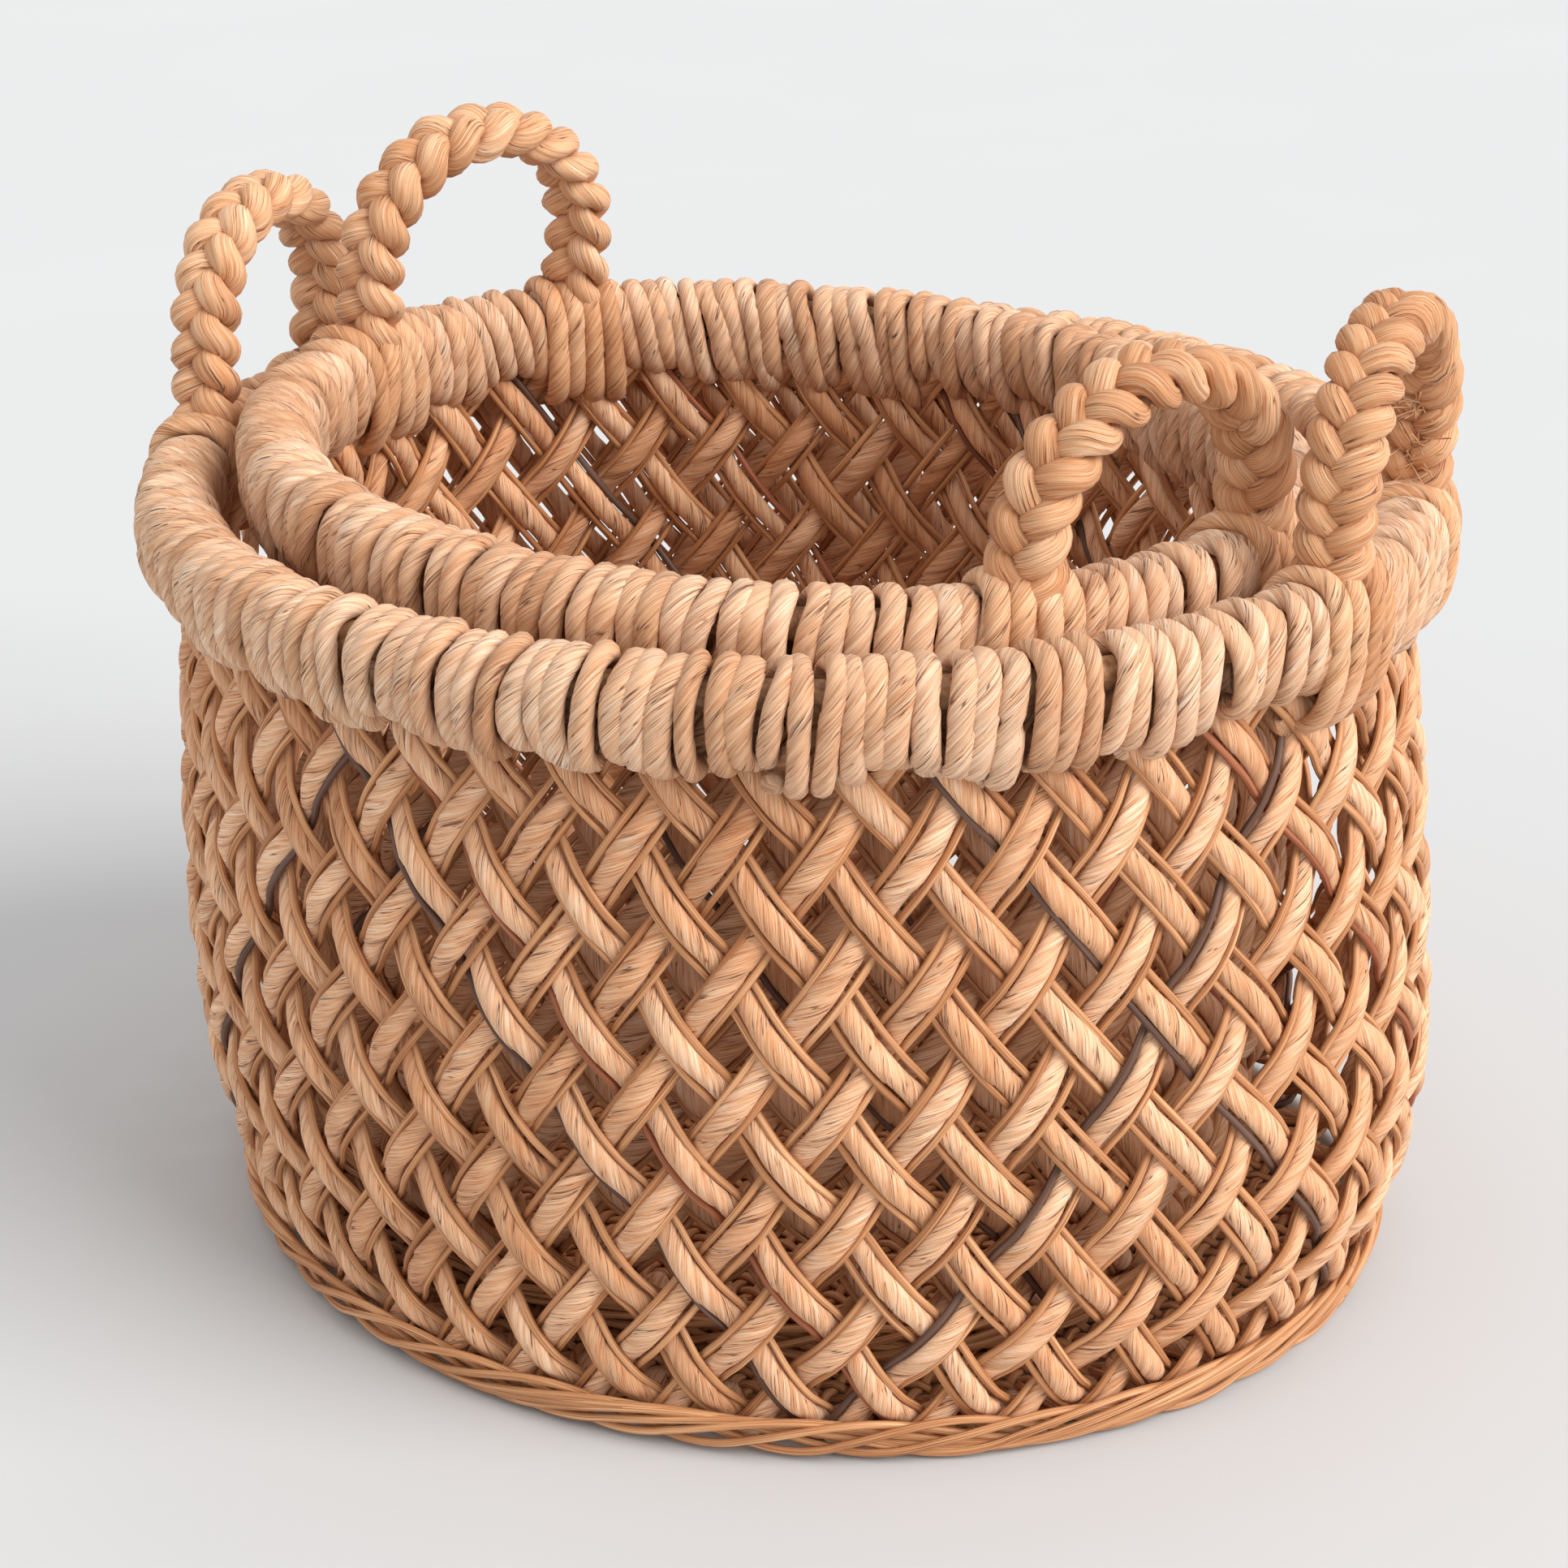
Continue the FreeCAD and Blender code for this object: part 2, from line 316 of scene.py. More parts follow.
def strands_piece(name, tube, centre, out, size, material, pitch=None, lap=0.0, tone=None):
    """One object of many strands. centre and out are (strands, rings + 1, 3) arrays, and
    size is (half width, half thickness), each a number or a (strands, rings + 1) array."""
    count = len(centre)
    side, out = side_and_out(centre, out)
    length = run_length(centre)
    wide, thick = [np.broadcast_to(s, length.shape) for s in size]
    turn = rng.uniform(0, tau, (count, 1))
    if pitch:
        turn = turn + tau * length / pitch
    turn = np.broadcast_to(turn, length.shape)
    share = tube.column / tube.sides
    if lap:
        share = share * EDGE_SHARE * tube.sides / (tube.sides - 1)
    grown = 1 + lap * (2 * share - 1)
    angle = tau * share + turn[:, tube.ring]
    across = (np.cos(angle) * grown * wide[:, tube.ring])[..., None] * side[:, tube.ring]
    outward = (np.sin(angle) * grown * thick[:, tube.ring])[..., None] * out[:, tube.ring]
    places = centre[:, tube.ring] + across + outward

    bm = bmesh.new()
    for _ in range(count):
        bm.from_mesh(tube.mesh)
    mesh = bpy.data.meshes.new(name)
    bm.to_mesh(mesh)
    bm.free()
    mesh.vertices.foreach_set("co", places.astype(np.float32).ravel())
    round_mm = tube.corner_column / tube.sides * tau * wide.mean() / MM
    shift = rng.uniform(0, 900, (count, 1))
    along_mm = length[:, tube.ring[tube.corner]] / MM + shift
    strand_map = np.stack([round_mm + 37 * np.arange(count)[:, None], along_mm], -1)
    mesh.uv_layers.new(name="strand").data.foreach_set("uv", strand_map.astype(np.float32).ravel())
    if tone is None:
        tone = rng.uniform(0, 1, count)
    tones = np.repeat(tone, len(tube.column)).astype(np.float32)
    mesh.attributes.new("tone", "FLOAT", "POINT").data.foreach_set("value", tones)
    mesh.materials.append(material)
    piece = bpy.data.objects.new(name, mesh)
    bpy.context.scene.collection.objects.link(piece)
    print(f"{name}: {count} strands, {len(tube.mesh.polygons) * 2 * count} triangles or so")
    return piece


# %% [markdown]
# ## Materials: dried hyacinth rope and rattan cane
# Both finishes are built from noise that is stretched along the strand, read from the
# strand's own UV map: one unit is one millimetre, across and along. On the rope the map
# turns with the mesh, so the fine fibres run at a slant, as twisted fibres do. A number
# stored on each strand, its tone, makes some strands paler and some browner, because no two
# stems dry to the same colour.

# %% Small helpers for shader nodes
class Finish:
    """A new material with a Principled shader, and short calls that add nodes to it."""

    def __init__(self, name):
        self.material = bpy.data.materials.new(name)
        self.material.use_nodes = True
        self.tree = self.material.node_tree
        self.shader = self.tree.nodes["Principled BSDF"]

    def add(self, kind, settings=None, **sockets):
        """A node with its settings made and its sockets filled or linked."""
        made = self.tree.nodes.new(kind)
        for key, value in (settings or {}).items():
            setattr(made, key, value)
        for key, value in sockets.items():
            self.set(made, key, value)
        return made

    def set(self, made, key, value):
        """Fill or link one socket. key is a socket's number after 'i', or its name."""
        number = key[1:]
        socket = made.inputs[int(number) if number.isdigit() else key.replace("_", " ")]
        if isinstance(value, bpy.types.NodeSocket):
            self.tree.links.new(value, socket)
        else:
            socket.default_value = value

    def streaks(self, across_mm, along_mm, detail=3.0, rough=0.6):
        """Noise stretched along the strand."""
        uv = self.add("ShaderNodeUVMap", {"uv_map": "strand"}).outputs[0]
        scale = (1 / across_mm, 1 / along_mm, 1)
        placed = self.add("ShaderNodeMapping", Vector=uv, Scale=scale).outputs[0]
        noise = self.add("ShaderNodeTexNoise", Vector=placed, Scale=1.0, Detail=detail,
                         Roughness=rough)
        return noise.outputs["Fac"]

    def patches(self, scale, detail=2.0):
        """Soft blotches over the whole object."""
        place = self.add("ShaderNodeTexCoord").outputs["Object"]
        noise = self.add("ShaderNodeTexNoise", Vector=place, Scale=scale, Detail=detail)
        return noise.outputs["Fac"]

    def ramp(self, value, *stops):
        """A colour ramp through (place, colour) stops."""
        made = self.add("ShaderNodeValToRGB", Fac=value)
        points = made.color_ramp.elements
        while len(points) < len(stops):
            points.new(0.5)
        for point, (place, colour) in zip(points, stops):
            point.position = place
            point.color = (*colour, 1)
        return made.outputs["Color"]

    def mix(self, share, first, second, way="MIX"):
        """Two colours mixed."""
        made = self.add("ShaderNodeMix", {"data_type": "RGBA", "blend_type": way})
        self.set(made, "i0", share)
        self.set(made, "i6", first)
        self.set(made, "i7", second)
        return made.outputs[2]

    def sum(self, kind, first, second):
        """One step of arithmetic on two values."""
        made = self.add("ShaderNodeMath", {"operation": kind})
        self.set(made, "i0", first)
        self.set(made, "i1", second)
        return made.outputs[0]


def grey(value):
    """A neutral colour."""
    return (value, value, value)


# %% [markdown]
# Dried hyacinth is a bundle of flat stems. Fine fibres, broader bands, blotches and thin
# creases are four noises of different sizes, mixed one after another. The creases are painted
# shade, thin lines mixed towards a dark shadow colour, and the fibres and creases are also a
# shallow bump.

# %% Hyacinth rope
def rope_finish(name, pale, middle, deep):
    """Dry twisted hyacinth: slanting fibres, creases in painted shade, tan and brown stems."""
    look = Finish(name)
    fibre = look.streaks(0.50, 16, detail=4, rough=0.65)
    broad = look.streaks(2.6, 55, detail=2, rough=0.5)
    tone = look.add("ShaderNodeAttribute", {"attribute_name": "tone"}).outputs["Fac"]
    fibres = look.ramp(fibre, (0.30, deep), (0.46, middle), (0.66, pale))
    bands = look.ramp(broad, (0.36, (0.74, 0.62, 0.52)), (0.60, (1.0, 1.0, 1.0)))
    colour = look.mix(0.75, fibres, bands, "MULTIPLY")
    stems = look.ramp(tone, (0.0, (0.78, 0.66, 0.55)), (0.25, (0.98, 0.90, 0.82)),
                      (0.7, (1.0, 1.0, 1.0)), (1.0, (1.08, 1.10, 1.12)))
    colour = look.mix(1.0, colour, stems, "MULTIPLY")
    blotch = look.ramp(look.patches(14, 3), (0.35, (0.86, 0.76, 0.68)), (0.58, (1.0, 1.0, 1.0)))
    colour = look.mix(0.8, colour, blotch, "MULTIPLY")
    # The thin creases are painted shade: narrow lines along the fibres darken the colour towards
    # the shadow colour below, and they are also a shallow groove in the bump.
    line = look.streaks(2.1, 42, detail=1.5, rough=0.4)
    shaded_crease = look.ramp(line, (0.478, grey(0)), (0.492, grey(1)), (0.500, grey(1)), (0.514, grey(0)))
    where = look.ramp(look.streaks(9, 26, detail=1), (0.43, grey(0)), (0.54, grey(1)))
    shaded_crease = look.mix(1.0, shaded_crease, where, "MULTIPLY")
    shadow = (0.14, 0.040, 0.014, 1)
    colour = look.mix(look.sum("MULTIPLY", shaded_crease, 0.9), colour, shadow)
    look.set(look.shader, "Base_Color", colour)
    shine = look.ramp(fibre, (0.3, grey(0.78)), (0.7, grey(0.52)))
    look.set(look.shader, "Roughness", shine)
    look.shader.inputs["Specular IOR Level"].default_value = 0.38
    look.shader.inputs["Sheen Weight"].default_value = 0.06
    height = look.sum("SUBTRACT", fibre, look.sum("MULTIPLY", shaded_crease, 0.9))
    height = look.sum("ADD", height, look.sum("MULTIPLY", broad, 0.8))
    bump = look.add("ShaderNodeBump", Height=height, Strength=0.55, Distance=0.0007)
    look.set(look.shader, "Normal", bump.outputs[0])
    return look.material


# %% [markdown]
# Cane has a harder, smoother skin than rope, with long straight grain, so its noise is
# stretched further and it shines a little more. A few rods are dyed reddish or blue-grey.

# %% Rattan cane
def cane_finish(name):
    """Peeled round cane: fine straight grain, warm tan, a few reddish or blue-grey rods."""
    look = Finish(name)
    grain = look.streaks(0.45, 70, detail=3, rough=0.6)
    broad = look.streaks(3.0, 90, detail=2, rough=0.5)
    tone = look.add("ShaderNodeAttribute", {"attribute_name": "tone"}).outputs["Fac"]
    colour = look.ramp(grain, (0.32, (0.28, 0.085, 0.028)), (0.48, (0.56, 0.25, 0.10)),
                       (0.68, (0.80, 0.49, 0.26)))
    bands = look.ramp(broad, (0.35, (0.72, 0.60, 0.50)), (0.60, (1.0, 1.0, 1.0)))
    colour = look.mix(0.7, colour, bands, "MULTIPLY")
    reddish, blue_grey = (0.66, 0.44, 0.42), (0.24, 0.26, 0.40)
    rods = look.ramp(tone, (0.0, (0.80, 0.72, 0.64)), (0.4, (1.0, 1.0, 1.0)),
                     (0.93, (1.12, 1.16, 1.2)), (0.94, reddish),
                     (0.968, reddish), (0.970, blue_grey))
    colour = look.mix(1.0, colour, rods, "MULTIPLY")
    look.set(look.shader, "Base_Color", colour)
    look.set(look.shader, "Roughness", look.ramp(grain, (0.3, grey(0.66)), (0.7, grey(0.42))))
    look.shader.inputs["Specular IOR Level"].default_value = 0.42
    bump = look.add("ShaderNodeBump", Height=grain, Strength=0.4, Distance=0.0004)
    look.set(look.shader, "Normal", bump.outputs[0])
    return look.material


PALE, MIDDLE, DEEP = (0.93, 0.77, 0.60), (0.88, 0.48, 0.25), (0.40, 0.12, 0.042)
weave_rope = rope_finish("hyacinth_rope_weave", PALE, MIDDLE, DEEP)
wrap_rope = rope_finish("hyacinth_rope_wrap", (0.89, 0.75, 0.61), (0.80, 0.49, 0.29), DEEP)
plait_rope = rope_finish("hyacinth_rope_plait", (0.88, 0.70, 0.52), (0.78, 0.43, 0.215), DEEP)
cane = cane_finish("rattan_cane")
print("finishes:", [look.name for look in (weave_rope, wrap_rope, plait_rope, cane)])

# %% [markdown]
# ## The wall: ropes and canes that pass over and under
# A strand climbs from the foot to the rim and leans one way. Counted in crossings, its place
# in the weave is simply its row: in even rows the strands that lean right lie outside, and in
# odd rows those that lean left do. So the distance from the middle of the wall is a cosine of
# the row, a little flattened at its top, because a strand lies straight over its neighbour
# and turns in quickly beside it. A cane runs the same way, moved to the side.

# %% Paths of the wall strands
SLANT_SINE = 0.81                  # sine of the strands' slope, 54 degrees
ROPE_SWING = 3.4 * MM              # how far a rope goes in and out at the crossings
CANE_SWING = 2.7 * MM
CANE_ASIDE = 7.2 * MM              # from a rope's middle to the canes beside it
STRAY = 1.7                        # mm, how far a strand strays from its even place
FLATTER = 0.34                     # share of a steeper wave, which flattens the crossings


def wall_paths(wall, lean, aside, swing, rings):
    """Centres, outward directions and over-under heights of one lean's strands."""
    number = np.arange(wall.strands)[:, None]
    run = np.linspace(-0.85 * wall.LIP, wall.length + 0.8 * wall.HEAD, rings + 1)
    places = np.linspace(0, 1, rings + 1)
    row = run / wall.length * ROWS
    sideways = aside / SLANT_SINE / wall.girth
    share = number / wall.strands + lean * row / (2 * wall.strands) + sideways
    share = share + wander(wall.strands, places, 0.5, 1.6) * STRAY * MM / wall.girth
    phase = row + lean * wall.strands * sideways
    rise = np.cos(pi * phase)
    rise = lean * ((1 + FLATTER) * rise - FLATTER * rise ** 3)
    rise = np.broadcast_to(rise, share.shape)
    swings = swing * (1 + 0.10 * wander(wall.strands, places, 2, 6))
    out = wall.out(share, run)
    centre = wall.at(share, np.broadcast_to(run, share.shape)) + out * (rise * swings)[..., None]
    return centre, out, rise, places


def wall_ropes(wall, lean, label):
    """The fat ropes of one lean."""
    tube = tube_of(12, 140)
    centre, out, rise, places = wall_paths(wall, lean, 0.0, ROPE_SWING, tube.rings)
    swell = 1 + 0.07 * wander(len(centre), places, 2, 7) - 0.10 * (1 - rise ** 2)
    stem = 1 + 0.07 * rng.uniform(-1, 1, (len(centre), 1))
    size = (WEAVE_ROPE[0] * swell * stem, WEAVE_ROPE[1] * (2 - swell) * stem)
    return strands_piece(f"{wall.name}_{label}_ropes", tube, centre, out, size, weave_rope,
                         pitch=WEAVE_TWIST, lap=0.07)


def wall_canes(wall, lean, label):
    """The canes of one lean, one each side of every rope."""
    tube = tube_of(7, 92)
    paths = [wall_paths(wall, lean, aside, CANE_SWING, tube.rings)
             for aside in (-CANE_ASIDE, CANE_ASIDE)]
    centre, out = [np.concatenate([p[i] for p in paths]) for i in (0, 1)]
    stem = 1 + 0.10 * rng.uniform(-1, 1, (len(centre), 1))
    size = (WEAVE_CANE[0] * stem, WEAVE_CANE[1] * stem)
    return strands_piece(f"{wall.name}_{label}_canes", tube, centre, out, size, cane)


# %% [markdown]
# Both walls are woven the same way. Each set of strands belongs to its basket's body and takes
# the place of the plain CAD wall.

# %% Weave both walls
for wall in walls.values():
    body = wall.name + "_basket"
    for lean, label in ((1, "right_leaning"), (-1, "left_leaning")):
        ropes = wall_ropes(wall, lean, label)
        canes = wall_canes(wall, lean, label)
        for piece, finish in ((ropes, "hyacinth_rope"), (canes, "rattan_cane")):
            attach(piece, body)
            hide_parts(wall.name + "_woven_wall")

# %% [markdown]
# ## The rim: rope bound round a hoop
# The rope goes round the hoop and through the weave, turn after turn, so each turn is one
# loop a rope's width along from the last. Where it dives through the weave depends on where
# the next gap is, so the turns hang down by different lengths, and neighbours lean on each
# other. Each turn's path is an oval with a long lower half.

# %% Loops round the rim
class Rim:
    """The middle line of the rope wrapping, read from its CAD band."""

    def __init__(self, wall):
        self.wall, self.stand = wall, wall.stand
        node = wall.name + "_rim_wrap"
        low, high = span(self.stand, node)
        self.z = (low + high) / 2
        outer, inner = [np.array(oval(self.stand, node, self.z, side)) for side in (True, False)]
        self.x, self.y, self.long_half, self.short_half = (outer + inner) / 2
        self.half_width = (outer - inner)[2] / 2
        self.half_height = (high - low) / 2
        self.girth = wall.girth * self.long_half / wall.middle[2]

    def at(self, angle):
        """Point, direction along the rim and direction out, at an angle round the oval."""
        point = np.stack([self.x + self.long_half * np.cos(angle),
                          self.y + self.short_half * np.sin(angle), self.z + 0 * angle], -1)
        along = np.stack([-self.long_half * np.sin(angle), self.short_half * np.cos(angle),
                          0 * angle], -1)
        along = self.stand.turned(along / np.linalg.norm(along, axis=-1, keepdims=True))
        return self.stand.shared(point), along, np.cross(along, self.stand.up)


def rim_loops(rim, angles, rings, half_width, top, drop, lean, bow, pitch):
    """Centres and outward directions of loops round the rim at the given angles."""
    beta = np.linspace(0, tau, rings + 1)
    point, along, outward = [v[:, None, :] for v in rim.at(angles)]
    squarer = 0.82                 # a power below one makes the oval squarer
    sine = np.sign(np.sin(beta)) * np.abs(np.sin(beta)) ** squarer
    cosine = np.sign(np.cos(beta)) * np.abs(np.cos(beta)) ** squarer
    across = -sine * half_width[:, None]
    height = -cosine * np.where(cosine > 0, drop[:, None], top[:, None])
    shift = (beta / tau - 0.5) * pitch - lean[:, None] * np.cos(beta)
    shift = shift - bow[:, None] * np.maximum(-np.sin(beta), 0) ** 1.5
    shift = shift + MM * wander(len(angles), beta / tau, 0.6, 1.5)
    centre = (point + along * shift[..., None] + outward * across[..., None]
              + rim.stand.up * height[..., None])
    side = np.broadcast_to(along, centre.shape)
    forward = np.gradient(centre, axis=1)
    return centre, crossed(forward, side)


def rim_wraps(rim):
    """Every turn of rope round one rim."""
    pitch = 9.9 * MM               # from one turn to the next
    count = round(rim.girth / pitch)
    share = (np.arange(count) + 0.22 * rng.uniform(-1, 1, count)) / count
    angles = np.interp(share % 1, rim.wall.share, rim.wall.angle)
    group = np.repeat(rng.uniform(0, 1, count // 3 + 1), 3)[:count]
    drop = (16 + 11 * group + 8 * rng.uniform(0, 1, count)) * MM
    wide = rim.half_width - WRAP_ROPE[1] + rng.uniform(-0.6, 1.5, count) * MM
    top = rim.half_height - WRAP_ROPE[1] + rng.uniform(-0.8, 1.3, count) * MM
    lean = rng.normal(4.0, 1.6, count) * MM
    bow = rng.normal(2.2, 1.4, count) * MM
    tube = tube_of(10, 36)
    centre, out = rim_loops(rim, angles, tube.rings, wide, top, drop, lean, bow, pitch)
    places = np.linspace(0, 1, tube.rings + 1)
    swell = 1 + 0.10 * wander(count, places, 1, 3)
    stem = 1 + 0.19 * rng.uniform(-1, 1, (count, 1))
    size = (WRAP_ROPE[0] * swell * stem, WRAP_ROPE[1] * swell * (2 - stem))
    return strands_piece(rim.wall.name + "_rim_wraps", tube, centre, out, size, wrap_rope,
                         pitch=WRAP_TWIST, lap=0.07)


rims = {}
for name, wall in walls.items():
    rims[name] = Rim(wall)
    wraps = rim_wraps(rims[name])
    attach(wraps, name + "_basket")
    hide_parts(name + "_rim_wrap")
    print(name, "rim at", round(rims[name].z, 3), "m, half width", round(rims[name].half_width, 4))

# %% [markdown]
# ## The handles: three-strand plaits
# A plait is three ropes that swap places. Seen along the handle, each rope draws a lying
# figure of eight: it swings from side to side once while it goes in and out twice, and the
# three ropes are a third of a turn apart. The arch itself is two straight legs and a half
# circle, measured on the CAD strand that it replaces.

# %% Plaited arches
HANDLE_SET = {("outer", "right"): (2.5, 6, 0, 43), ("outer", "left"): (-1, -8, 0, 52),
              ("inner", "right"): (4, 0, 30, 50), ("inner", "left"): (-8, 0, 30, 56)}


PLAIT_START = 8 * MM               # height above the hinge at which a plait starts
PLAIT_SWAY = 10.8 * MM             # how far its ropes swing from side to side
PLAIT_LIFT = 5.9 * MM              # how far they swing in and out
SHORT_REPEAT = 43 * MM             # the repeat at which the ropes have PLAIT_ROPE's width
STRAND_OUT = 12.7 * MM             # from a plait's middle to the CAD strand's outer edge


class Arch:
    """The middle line of a handle, from its hinge and its topmost CAD strand. HANDLE_SET says,
    in degrees, how far a handle leans out, how far it leans sideways and how far its plait is
    twisted at the feet, and in mm how long one repeat of its plait is."""

    def __init__(self, stand, basket, side):
        self.basket, self.side = basket, side
        joint = joints[f"{basket}_{side}_handle_lean"]
        self.foot = np.array(joint["pos_m"])
        hinge = np.array(joint["axis"]) * (1 if basket == "outer" else -1)
        lean, slant, twist, repeat = HANDLE_SET[basket, side]
        self.twist, self.repeat = radians(twist), repeat * MM
        outward = np.cross(hinge, stand.up)
        turned = Matrix.Rotation(radians(lean), 3, Vector(hinge))
        turned = np.array(turned @ Matrix.Rotation(radians(-slant), 3, Vector(outward)))
        self.hinge = hinge
        self.along, self.up, self.outward = turned @ hinge, turned @ stand.up, turned @ outward
        strand = frame["nodes"][f"{basket}_{side}_handle_strand_b"]
        corners = np.array([corner.co for corner in strand.data.vertices]) - self.foot
        self.half = np.abs(corners @ self.along).max() - STRAND_OUT
        self.top = (corners @ self.up).max() - STRAND_OUT

    def line(self, places):
        """Points in (along, up), the outward normal and the distance run, at shares 0 to 1."""
        low = PLAIT_START
        leg = self.top - self.half - low
        total = 2 * leg + pi * self.half
        s = places * total
        bend = np.clip((s - leg) / (pi * self.half), 0, 1) * pi
        across = -self.half * np.cos(bend)
        height = np.where(s < leg, low + s, np.where(s > total - leg, low + total - s,
                          low + leg + self.half * np.sin(bend)))
        return across, height, -np.cos(bend), np.sin(bend), s


def plait(arch):
    """Paths of the three ropes of one handle."""
    tube = tube_of(14, 170)
    places = np.linspace(0, 1, tube.rings + 1)
    across, height, normal_along, normal_up, s = arch.line(places)
    middle = arch.foot + across[:, None] * arch.along + height[:, None] * arch.up
    normal = normal_along[:, None] * arch.along + normal_up[:, None] * arch.up
    facing = (arch.twist * np.cos(pi * places))[:, None]
    across = np.cos(facing) * arch.outward - np.sin(facing) * normal
    normal = np.cos(facing) * normal + np.sin(facing) * arch.outward
    start = rng.uniform(0, 1)
    paths, outs = [], []
    for rope in range(3):
        swing = tau * (s / arch.repeat + rope / 3 + start)
        aside = PLAIT_SWAY * (np.sin(swing) - 0.09 * np.sin(3 * swing)) / 1.09
        proud = PLAIT_LIFT * np.sin(2 * swing)
        paths.append(middle + across * aside[:, None] + normal * proud[:, None])
        outs.append(normal + 0.45 * across * np.sin(swing)[:, None])
    centre, out = np.array(paths), np.array(outs)
    swell = 1 + 0.07 * wander(3, places, 3, 8)
    fuller = 0.6 + 0.4 * arch.repeat / SHORT_REPEAT
    size = (PLAIT_ROPE[0] * swell * fuller, PLAIT_ROPE[1] * (2 - swell))
    return strands_piece(f"{arch.basket}_{arch.side}_handle_plait", tube, centre, out, size,
                         plait_rope, pitch=PLAIT_TWIST, lap=0.08)


for name, stand in stands.items():
    for side in ("right", "left"):
        arch = Arch(stand, name, side)
        piece = plait(arch)
        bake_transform(piece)
        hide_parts(*[f"{name}_{side}_handle_strand_{letter}" for letter in "abc"])

# %% [markdown]
# ## Split fibres
# Where a stem ends inside a plait its fibres split and curl out of the gap between the ropes.
# Each tuft is a bunch of hair-thin strands that start together and bend their own ways.

# %% Tufts on the handles
TUFT_FIBRES = 26                   # in one bunch
TUFT_ROOT = 8.5 * MM               # from the plait's middle to where a bunch starts


def tufts(arch, spots):
    """Bunches of split fibres. A spot is a share of the way along the handle, and 1 on the
    arch's outer face or -1 on its inner one."""
    tube = tube_of(5, 9)
    places = np.linspace(0, 1, tube.rings + 1)[:, None]
    paths = []
    for share, face in spots:
        across, height, normal_along, normal_up, _ = arch.line(share)
        normal = face * (normal_along * arch.along + normal_up * arch.up)
        along = np.cross(arch.outward, normal)
        root = arch.foot + across * arch.along + height * arch.up + TUFT_ROOT * normal
        for _ in range(TUFT_FIBRES):
            way = rng.normal(0, 0.8, 3) @ np.array([arch.outward, along, 0 * along])
            way = way + 0.55 * normal
            curl = rng.normal(0, 0.8, 3) - 0.25 * normal
            start = root + 2.2 * MM * (rng.normal() * arch.outward + rng.normal() * along)
            length = rng.uniform(5, 10) * MM
            paths.append(start + length * (way * places + 0.6 * curl * places ** 2))
    centre = np.array(paths)
    out = np.broadcast_to(normal, centre.shape)
    return strands_piece(f"{arch.basket}_{arch.side}_handle_tufts", tube, centre, out,
                         SPLIT_FIBRE, plait_rope)


TUFTS = {"left": [(0.10, 1), (0.16, 1), (0.24, 1)], "right": [(0.86, -1), (0.78, -1)]}
for side, spots in TUFTS.items():
    piece = tufts(Arch(stands["outer"], "outer", side), spots)
    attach(piece, f"outer_{side}_handle")

# %% [markdown]
# ## The lashings: rope ends that tie the handles down
# Each leg of a handle is held by rope that goes over the rim beside it and through the weave
# below. They are rim loops again, a rope's thickness further out, and they hang lower.

# %% Tie the handles to the rims
def lashing(rim, arch):
    """The rope turns that hold both legs of one handle."""
    steps = np.array([-15.5, -5.2, 5.2, 15.5]) * MM  # four turns, from a leg's middle
    angles = []
    for leg in (-1, 1):
        x, y, _ = rim.stand.own(arch.foot + arch.hinge * leg * arch.half)
        middle = np.arctan2((y - rim.y) / rim.short_half, (x - rim.x) / rim.long_half)
        pace = np.hypot(rim.long_half * sin(middle), rim.short_half * cos(middle))
        angles.extend(middle + steps / pace)
    angles = np.array(angles)
    count = len(angles)
    tube = tube_of(12, 48)
    wide = rim.half_width + rng.uniform(0.0, 0.8, count) * MM
    top = rim.half_height + rng.uniform(0.2, 1.2, count) * MM
    drop = rng.uniform(32, 40, count) * MM
    lean = rng.normal(2.0, 2.0, count) * MM
    bow = rng.normal(1.0, 1.0, count) * MM
    centre, out = rim_loops(rim, angles, tube.rings, wide, top, drop, lean, bow, 6 * MM)
    places = np.linspace(0, 1, tube.rings + 1)
    swell = 1 + 0.07 * wander(count, places, 1, 3)
    size = (TIE_ROPE[0] * swell, TIE_ROPE[1] * swell)
    return strands_piece(f"{arch.basket}_{arch.side}_handle_ties", tube, centre, out, size,
                         plait_rope, pitch=TIE_TWIST, lap=0.06)


for name, rim in rims.items():
    for side in ("right", "left"):
        piece = lashing(rim, Arch(rim.stand, name, side))
        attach(piece, name + "_basket")
        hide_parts(f"{name}_{side}_handle_lashing")

# %% [markdown]
# ## The foot: cane ends laid round the base
# At the foot the canes turn sideways and run round the basket, each one passing behind and
# then in front of the next. Rods that rise and fall like the strands of a very flat rope
# give those long, shallow crossings.

# %% Border rods
BORDER_HEIGHT = 12.4 * MM          # of the rods' middle above the basket's floor level
BORDER_PROUD = 3.4 * MM            # from the wall's outer face to the rods' middle
BORDER_SWING = 2.9 * MM            # how far the rods go in and out


def border(wall):
    """The thin rods round the foot."""
    tube = tube_of(8, 420)
    rods, turns = 7, 9
    share = np.linspace(0, 1, tube.rings + 1)
    paths, outs = [], []
    for rod in range(rods):
        swing = tau * (turns * share + rod / rods)
        swing = swing + 0.9 * np.sin(tau * share * 3 + rod)
        rise = (8.2 + 1.6 * wander(1, share, 4, 9)[0]) * MM
        height = BORDER_HEIGHT + rise * np.sin(swing)
        proud = WALL_HALF + BORDER_PROUD + BORDER_SWING * np.cos(swing)
        place = wall.own(share, np.maximum(height - wall.FOOT, 0))
        step = np.gradient(place, axis=0) * [1, 1, 0]
        flat = crossed(step, np.array([0.0, 0.0, 1.0]))
        place = place + flat * proud[:, None]
        place[:, 2] = height
        paths.append(wall.stand.shared(place))
        outs.append(wall.stand.turned(flat))
    tones = rng.uniform(0.3, 0.9, rods)
    return strands_piece(wall.name + "_border", tube, np.array(paths), np.array(outs),
                         BORDER_CANE, cane, tone=tones)


